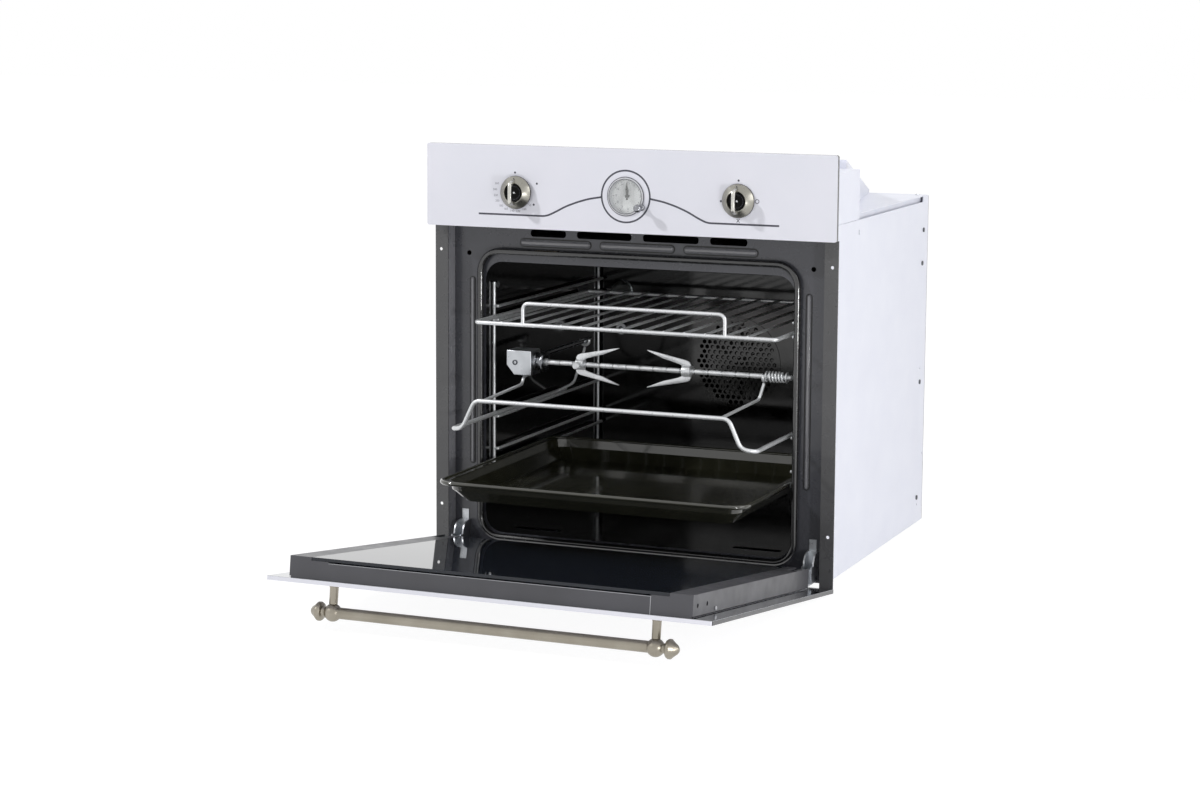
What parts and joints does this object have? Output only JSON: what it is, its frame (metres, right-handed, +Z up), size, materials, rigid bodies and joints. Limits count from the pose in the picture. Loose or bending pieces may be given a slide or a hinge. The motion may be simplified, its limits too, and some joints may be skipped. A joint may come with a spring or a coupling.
{
  "type": "built-in gas oven",
  "caption": "Built-in gas oven with a drop-down glass door, clock, knobs, rotisserie with forks, wire shelf and baking tray, shown open.",
  "frame": {"origin": "centre of the cabinet screw holes, on the trims' rear face, where the oven meets the cabinet", "axes": "+X to the right seen from the front, +Y into the cabinet, +Z up"},
  "size_m": [0.595, 1.0078, 0.5872],
  "materials": {
    "panel_white": "satin white",
    "casing_white": "satin white",
    "dark_grey": "semi-gloss dark grey",
    "black_enamel": "glossy black enamel",
    "zinc_steel": "zinc plated",
    "chrome": "polished",
    "satin_nickel": "satin nickel",
    "brass": "plain",
    "mineral_wool": "matt",
    "gasket": "matt black",
    "heater_tube": "dull",
    "clear_glass": "clear",
    "door_glass": "dark reflective",
    "porcelain": "plain",
    "pale_plastic": "plain",
    "black_plastic": "plain",
    "dial_white": "matt white with marks",
    "hand_dark": "matt"
  },
  "bodies": {
    "casing": {"control_panel": "panel_white", "control_housing": "casing_white", "front_frame": "dark_grey", "side_trims": "dark_grey", "side_panel_left": "casing_white", "side_panel_right": "casing_white", "top_cover": "casing_white", "base_panel": "zinc_steel", "rear_panel": "zinc_steel", "rear_cover": "casing_white", "insulation": "mineral_wool", "cavity": "black_enamel", "door_gasket": "gasket", "fan_grille": "black_enamel", "fan_motor": "zinc_steel", "lamp_holder": "porcelain", "lamp_lens": "clear_glass", "grill_element": "heater_tube", "side_rack_left": "chrome", "side_rack_right": "chrome", "rack_screws": "chrome", "oven_burner": "zinc_steel", "igniter_and_probe": "porcelain", "gas_valve": "brass", "gas_pipes": "brass", "gas_inlet": "brass", "function_switch": "pale_plastic", "clock_case": "satin_nickel", "clock_dial": "dial_white", "clock_glass": "clear_glass", "cooling_fan_housing": "zinc_steel", "terminal_cover": "black_plastic", "rotisserie_motor": "zinc_steel", "hinge_arms": "zinc_steel", "casing_screws": "chrome"},
    "thrust": {"knob_thrust_ring": "zinc_steel"},
    "temperature": {"temperature_knob": "satin_nickel"},
    "function": {"function_knob": "satin_nickel"},
    "minute": {"minute_hand": "hand_dark"},
    "hour": {"hour_hand": "hand_dark"},
    "clock_setter": {"clock_set_knob": "chrome"},
    "oven_fan": {"fan_wheel": "zinc_steel"},
    "cooling_fan": {"cooling_fan_drum": "zinc_steel"},
    "drive_socket": {"spit_drive_socket": "chrome"},
    "cradle": {"spit_cradle": "chrome", "spit_gearbox": "zinc_steel"},
    "drive": {"drive_shaft": "chrome"},
    "spit": {"spit_rod": "chrome", "spit_spring": "chrome"},
    "left_fork": {"fork_left": "chrome"},
    "right_fork": {"fork_right": "chrome"},
    "shelf": {"wire_shelf": "chrome"},
    "tray": {"baking_tray": "black_enamel"},
    "door": {"door_panel": "panel_white", "door_frame": "dark_grey", "inner_glass": "door_glass", "middle_glass": "clear_glass", "hinge_channels": "zinc_steel", "handle_posts": "satin_nickel", "handle_bar": "satin_nickel"}
  },
  "joints": [
    {"name": "door_hinge", "type": "hinge", "parent": "casing", "child": "door", "pos_m": [0, -0.021, -0.253], "axis": [-1, 0, 0], "range_deg": [0, 82.3]},
    {"name": "shelf_slide", "type": "slide", "parent": "casing", "child": "shelf", "axis": [0, 1, 0], "range_m": [0, 0.0555]},
    {"name": "cradle_slide", "type": "slide", "parent": "casing", "child": "cradle", "axis": [0, 1, 0], "range_m": [0, 0.1355]},
    {"name": "tray_slide", "type": "slide", "parent": "casing", "child": "tray", "axis": [0, 1, 0], "range_m": [0, 0.1805]},
    {"name": "temperature_push", "type": "slide", "parent": "casing", "child": "thrust", "axis": [0, 1, 0], "range_m": [0, 0.003], "stiffness_N_per_m": 600, "springref_m": -0.002},
    {"name": "temperature_turn", "type": "hinge", "parent": "thrust", "child": "temperature", "pos_m": [-0.161, -0.022, 0.2668], "axis": [0, -1, 0], "range_deg": [0, 270]},
    {"name": "function_turn", "type": "hinge", "parent": "casing", "child": "function", "pos_m": [0.161, -0.022, 0.2668], "axis": [0, 1, 0], "range_deg": [0, 270]},
    {"name": "clock_set_turn", "type": "hinge", "parent": "casing", "child": "clock_setter", "pos_m": [0.0246, -0.022, 0.2528], "axis": [0, 1, 0], "continuous": true},
    {"name": "minute_turn", "type": "hinge", "parent": "casing", "child": "minute", "pos_m": [0, -0.017, 0.2668], "axis": [0, 1, 0], "continuous": true},
    {"name": "hour_turn", "type": "hinge", "parent": "casing", "child": "hour", "pos_m": [0, -0.014, 0.2668], "axis": [0, 1, 0], "continuous": true},
    {"name": "oven_fan_turn", "type": "hinge", "parent": "casing", "child": "oven_fan", "pos_m": [0, 0.453, -0.021], "axis": [0, 1, 0], "continuous": true},
    {"name": "cooling_fan_turn", "type": "hinge", "parent": "casing", "child": "cooling_fan", "pos_m": [0, 0.11, 0.264], "axis": [1, 0, 0], "continuous": true},
    {"name": "drive_socket_turn", "type": "hinge", "parent": "casing", "child": "drive_socket", "pos_m": [-0.1765, 0.428, 0.0255], "axis": [0, 1, 0], "continuous": true},
    {"name": "spit_turn", "type": "hinge", "parent": "cradle", "child": "spit", "pos_m": [0, 0.033, 0.0255], "axis": [1, 0, 0], "continuous": true},
    {"name": "drive_turn", "type": "hinge", "parent": "cradle", "child": "drive", "pos_m": [-0.1765, 0.128, 0.0255], "axis": [0, 1, 0], "continuous": true},
    {"name": "left_fork_slide", "type": "slide", "parent": "spit", "child": "left_fork", "axis": [1, 0, 0], "range_m": [-0.04, 0.015]},
    {"name": "right_fork_slide", "type": "slide", "parent": "spit", "child": "right_fork", "axis": [1, 0, 0], "range_m": [-0.015, 0.09]}
  ],
  "couplings": [
    {"joint": "shelf_slide", "follows": "door_hinge", "m_per_rad": 0.03829},
    {"joint": "cradle_slide", "follows": "door_hinge", "m_per_rad": 0.093985},
    {"joint": "tray_slide", "follows": "door_hinge", "m_per_rad": 0.12531},
    {"joint": "minute_turn", "follows": "clock_set_turn", "ratio": -0.5},
    {"joint": "hour_turn", "follows": "clock_set_turn", "ratio": -0.041667},
    {"joint": "drive_turn", "follows": "spit_turn", "ratio": -1}
  ]
}
